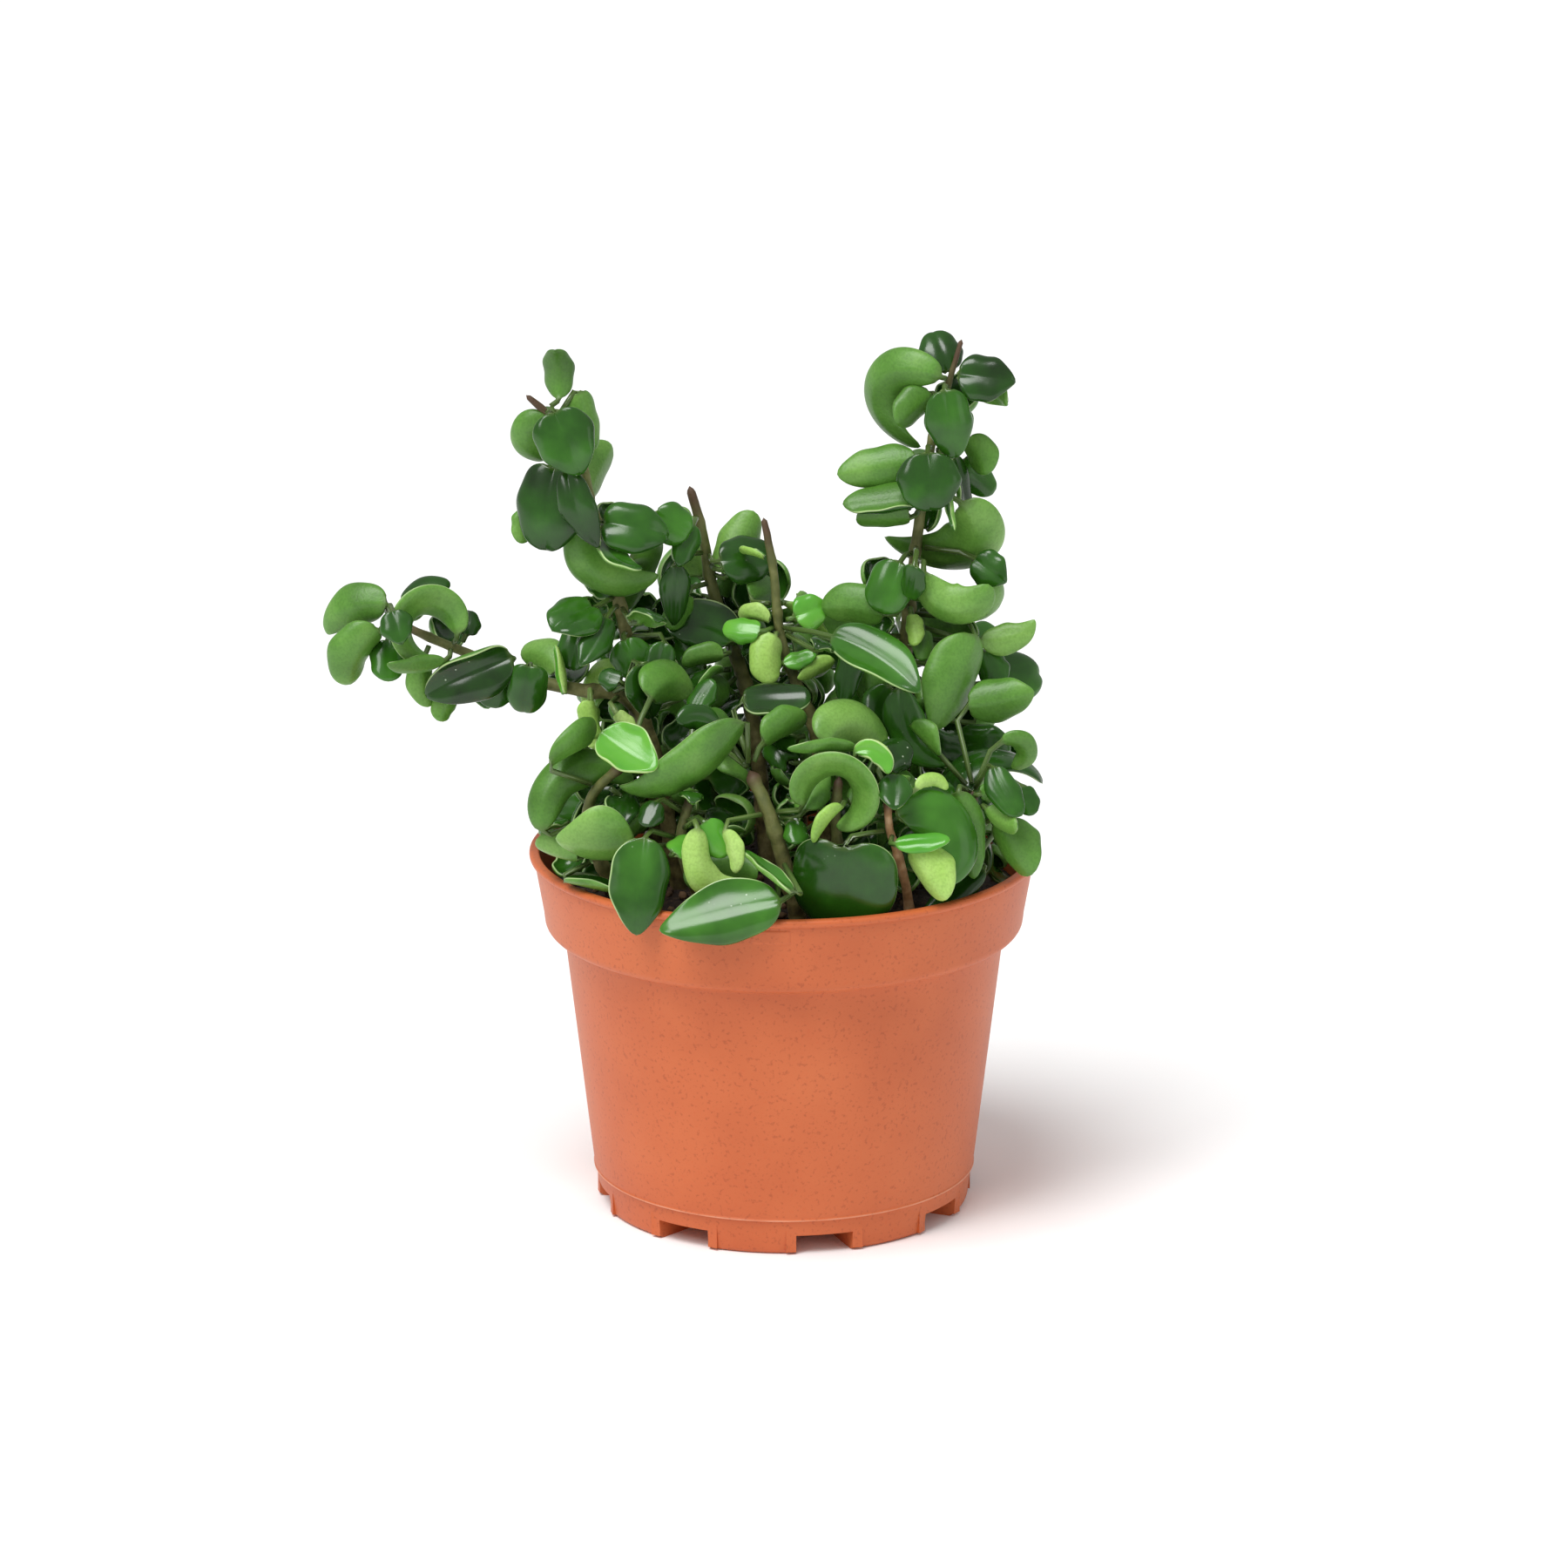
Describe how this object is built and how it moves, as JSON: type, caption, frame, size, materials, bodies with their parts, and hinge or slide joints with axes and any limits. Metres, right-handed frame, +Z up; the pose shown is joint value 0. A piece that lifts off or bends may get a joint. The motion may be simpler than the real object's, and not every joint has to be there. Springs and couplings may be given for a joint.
{
  "type": "potted live plant",
  "caption": "Hindu rope hoya with tightly curled waxy leaves on trailing and upright stems, growing in a round plastic nursery pot.",
  "frame": {"origin": "centre of the pot's flat underside, on the surface that it stands on", "axes": "+Z up along the pot's axis, -Y towards the plant's front, +X to the front's right"},
  "size_m": [0.2124, 0.1555, 0.2627],
  "materials": {
    "pot_plastic": "terracotta-coloured moulded polypropylene, fine matte",
    "potting_mix": "damp peat and bark mix",
    "stem_bark": "tan to brown bark, rough",
    "leaf": "waxy deep green above, matt yellow-green below",
    "young_leaf": "waxy lime green, young growth"
  },
  "bodies": {
    "root": {"leaf_left_low_1": "leaf", "leaf_left_low_2": "leaf", "leaf_left_low_4": "leaf", "leaf_left_low_5": "leaf", "leaf_left_low_7": "leaf", "leaf_left_tall_1": "leaf", "leaf_left_tall_11": "leaf", "leaf_left_tall_2": "leaf", "leaf_left_tall_3": "leaf", "leaf_left_tall_4": "leaf", "leaf_left_tall_5": "leaf", "leaf_left_tall_7": "leaf", "leaf_left_tall_8": "leaf", "leaf_left_tall_9": "leaf", "leaf_mid_bare_1": "leaf", "leaf_mid_bare_2": "leaf", "leaf_mid_bare_3": "leaf", "leaf_mound_centre_3": "leaf", "leaf_mound_centre_4": "leaf", "leaf_mound_front_1": "leaf", "leaf_mound_front_2": "leaf", "leaf_mound_front_3": "leaf", "leaf_mound_left_1": "leaf", "leaf_mound_left_4": "leaf", "leaf_mound_left_5": "leaf", "leaf_mound_left_6": "young_leaf", "leaf_mound_right_2": "leaf", "leaf_mound_right_3": "leaf", "leaf_mound_right_4": "leaf", "leaf_mound_right_5": "leaf", "leaf_right_low_1": "leaf", "leaf_right_tall_1": "leaf", "leaf_right_tall_10": "leaf", "leaf_right_tall_11": "leaf", "leaf_right_tall_13": "leaf", "leaf_right_tall_14": "leaf", "leaf_right_tall_15": "leaf", "leaf_right_tall_2": "leaf", "leaf_right_tall_3": "leaf", "leaf_right_tall_4": "leaf", "leaf_right_tall_5": "leaf", "leaf_right_tall_6": "leaf", "leaf_right_tall_7": "leaf", "leaf_right_tall_9": "leaf", "pot": "pot_plastic", "soil": "potting_mix", "stem_back": "stem_bark", "stem_front_left": "stem_bark", "stem_front_middle": "stem_bark", "stem_front_stub": "stem_bark", "stem_front_woody": "stem_bark", "stem_left_low": "stem_bark", "stem_left_short": "stem_bark", "stem_left_tall": "stem_bark", "stem_mid_bare": "stem_bark", "stem_mid_young": "stem_bark", "stem_right_short": "stem_bark", "stem_right_tall": "stem_bark"}
  },
  "joints": []
}
